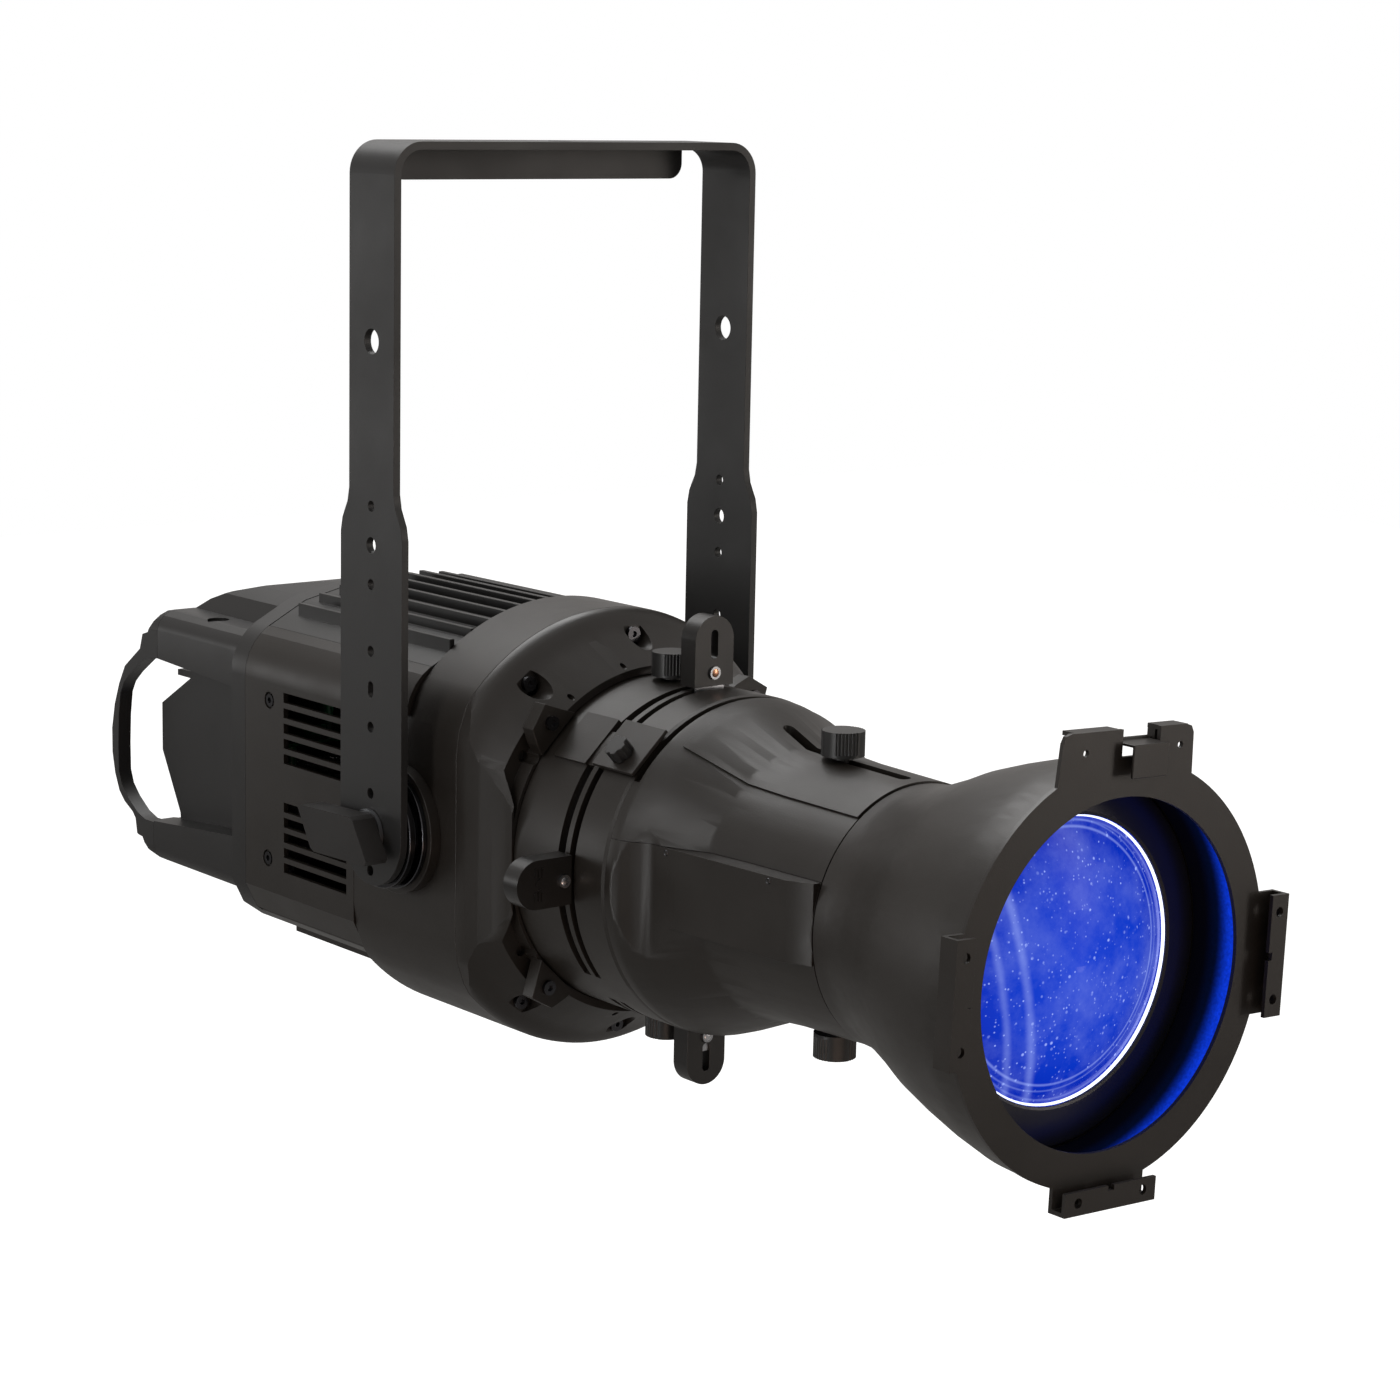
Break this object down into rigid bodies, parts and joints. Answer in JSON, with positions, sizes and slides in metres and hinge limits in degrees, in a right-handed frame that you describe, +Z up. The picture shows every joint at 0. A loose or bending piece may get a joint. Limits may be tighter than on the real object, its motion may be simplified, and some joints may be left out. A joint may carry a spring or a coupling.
{
  "type": "ellipsoidal spotlight",
  "caption": "Stage profile spotlight in a steel yoke, with a turning shutter gate, a sliding lens tube, a finned head, rear grab handles and a colour frame holder.",
  "frame": {"origin": "middle of the clamp hole, on the outer top face of the yoke's bar", "axes": "+Z up out of the yoke's top bar, towards the hook clamp; -Y the way the light leaves; +X to the right seen from the front"},
  "size_m": [0.262, 0.7106, 0.46],
  "materials": {
    "yoke_paint": "satin black powder coat on steel strap",
    "shell_paint": "satin black powder coat on die-cast aluminium",
    "sheet_paint": "satin black powder coat on sheet steel",
    "fin_metal": "black anodised extrusion",
    "cap_plastic": "fine-grained black moulding",
    "grip_plastic": "satin black moulding",
    "knob_plastic": "ribbed black moulding",
    "button_rubber": "soft grey",
    "screen_glass": "dark display cover",
    "socket_blue": "blue insulating plastic",
    "socket_grey": "grey insulating plastic",
    "socket_metal": "nickel plated shell",
    "bare_metal": "bare sheet",
    "circuit_green": "green circuit board",
    "led_copper": "copper-cored board with emitters",
    "lens_glass": "clear optical glass, lit blue",
    "disc_steel": "zinc plated",
    "dark_steel": "blackened steel discs and screws",
    "blade_steel": "bare stainless"
  },
  "bodies": {
    "yoke": {"yoke_frame": "yoke_paint"},
    "head": {"front_shell": "shell_paint", "drum_housing": "shell_paint", "side_cover_left": "shell_paint", "side_cover_right": "shell_paint", "cooling_fins": "fin_metal", "bottom_tray": "shell_paint", "base_plate": "sheet_paint", "rear_cap": "cap_plastic", "grab_handle_left": "cap_plastic", "grab_handle_right": "cap_plastic", "control_panel": "cap_plastic", "display_window": "screen_glass", "power_inlet": "socket_blue", "power_outlet": "socket_grey", "data_inlet": "socket_metal", "data_outlet": "socket_metal", "fan_frame": "cap_plastic", "power_supply": "bare_metal", "control_board": "circuit_green", "led_module": "led_copper", "condenser_lens": "lens_glass", "light_cone": "bare_metal", "pivot_blocks": "shell_paint", "friction_discs": "dark_steel", "barrel_clamps": "shell_paint", "housing_screws": "dark_steel"},
    "left_lock": {"tilt_lever_left": "grip_plastic", "pivot_bolt_left": "disc_steel"},
    "right_lock": {"tilt_lever_right": "grip_plastic", "pivot_bolt_right": "disc_steel"},
    "fan": {"fan_rotor": "cap_plastic"},
    "menu_button": {"button_menu": "button_rubber"},
    "up_button": {"button_up": "button_rubber"},
    "down_button": {"button_down": "button_rubber"},
    "enter_button": {"button_enter": "button_rubber"},
    "gate": {"gate_barrel": "shell_paint", "gate_plates": "disc_steel", "barrel_upper": "shell_paint", "barrel_lower": "shell_paint"},
    "lens": {"lens_tube": "shell_paint", "front_lens": "lens_glass", "rear_lens": "lens_glass", "lens_ring": "cap_plastic", "accessory_plate": "sheet_paint"},
    "clip": {"retaining_clip": "sheet_paint"},
    "slot_lid": {"slot_cover": "sheet_paint"},
    "slot_knob": {"slot_cover_knob": "knob_plastic"},
    "gate_knob_top": {"gate_knob_top": "knob_plastic"},
    "gate_knob_bottom": {"gate_knob_bottom": "knob_plastic"},
    "focus_knob_top": {"focus_knob_top": "knob_plastic"},
    "focus_knob_bottom": {"focus_knob_bottom": "knob_plastic"},
    "shutter_top": {"shutter_top": "blade_steel", "shutter_grip_top": "grip_plastic"},
    "shutter_bottom": {"shutter_bottom": "blade_steel", "shutter_grip_bottom": "grip_plastic"},
    "shutter_left": {"shutter_left": "blade_steel", "shutter_grip_left": "grip_plastic"},
    "shutter_right": {"shutter_right": "blade_steel", "shutter_grip_right": "grip_plastic"}
  },
  "joints": [
    {"name": "head_tilt", "type": "hinge", "parent": "yoke", "child": "head", "pos_m": [0, 0, -0.3415], "axis": [1, 0, 0], "range_deg": [-65, 90]},
    {"name": "left_lock_turn", "type": "hinge", "parent": "head", "child": "left_lock", "pos_m": [0, 0, -0.3415], "axis": [1, 0, 0], "range_deg": [0, 90]},
    {"name": "right_lock_turn", "type": "hinge", "parent": "head", "child": "right_lock", "pos_m": [0, 0, -0.3415], "axis": [1, 0, 0], "range_deg": [0, 90]},
    {"name": "fan_spin", "type": "hinge", "parent": "head", "child": "fan", "pos_m": [0, 0.113, -0.344], "axis": [0, 1, 0], "continuous": true},
    {"name": "menu_press", "type": "slide", "parent": "head", "child": "menu_button", "axis": [0, -1, 0], "range_m": [0, 0.001], "stiffness_N_per_m": 400},
    {"name": "up_press", "type": "slide", "parent": "head", "child": "up_button", "axis": [0, -1, 0], "range_m": [0, 0.001], "stiffness_N_per_m": 400},
    {"name": "down_press", "type": "slide", "parent": "head", "child": "down_button", "axis": [0, -1, 0], "range_m": [0, 0.001], "stiffness_N_per_m": 400},
    {"name": "enter_press", "type": "slide", "parent": "head", "child": "enter_button", "axis": [0, -1, 0], "range_m": [0, 0.001], "stiffness_N_per_m": 400},
    {"name": "gate_turn", "type": "hinge", "parent": "head", "child": "gate", "pos_m": [0, -0.11, -0.344], "axis": [0, 1, 0], "range_deg": [-25, 25]},
    {"name": "lens_focus", "type": "slide", "parent": "gate", "child": "lens", "axis": [0, -1, 0], "range_m": [0, 0.036]},
    {"name": "clip_swing", "type": "hinge", "parent": "lens", "child": "clip", "pos_m": [0.00407, -0.397, -0.24268], "axis": [0.9992, 0, -0.0401], "range_deg": [-75, 0], "stiffness_Nm_per_rad": 0.02},
    {"name": "slot_cover_turn", "type": "hinge", "parent": "gate", "child": "slot_lid", "pos_m": [-0.06163, -0.14, -0.28524], "axis": [-0.682, 0, 0.7314], "range_deg": [0, 90]},
    {"name": "slot_knob_turn", "type": "hinge", "parent": "slot_lid", "child": "slot_knob", "pos_m": [-0.06163, -0.14, -0.28524], "axis": [-0.682, 0, 0.7314], "continuous": true},
    {"name": "gate_knob_top_turn", "type": "hinge", "parent": "gate", "child": "gate_knob_top", "pos_m": [0, -0.098, -0.264], "axis": [0, 0, 1], "continuous": true},
    {"name": "gate_knob_bottom_turn", "type": "hinge", "parent": "gate", "child": "gate_knob_bottom", "pos_m": [0, -0.098, -0.424], "axis": [0, 0, 1], "continuous": true},
    {"name": "focus_knob_top_turn", "type": "hinge", "parent": "lens", "child": "focus_knob_top", "pos_m": [0, -0.226, -0.264], "axis": [0, 0, 1], "continuous": true},
    {"name": "focus_knob_bottom_turn", "type": "hinge", "parent": "lens", "child": "focus_knob_bottom", "pos_m": [0, -0.226, -0.424], "axis": [0, 0, 1], "continuous": true},
    {"name": "shutter_top_pull", "type": "slide", "parent": "gate", "child": "shutter_top", "axis": [0, 0, 1], "range_m": [0, 0.03]},
    {"name": "shutter_bottom_pull", "type": "slide", "parent": "gate", "child": "shutter_bottom", "axis": [0, 0, -1], "range_m": [0, 0.03]},
    {"name": "shutter_left_pull", "type": "slide", "parent": "gate", "child": "shutter_left", "axis": [-1, 0, 0], "range_m": [0, 0.03]},
    {"name": "shutter_right_pull", "type": "slide", "parent": "gate", "child": "shutter_right", "axis": [1, 0, 0], "range_m": [0, 0.03]}
  ]
}
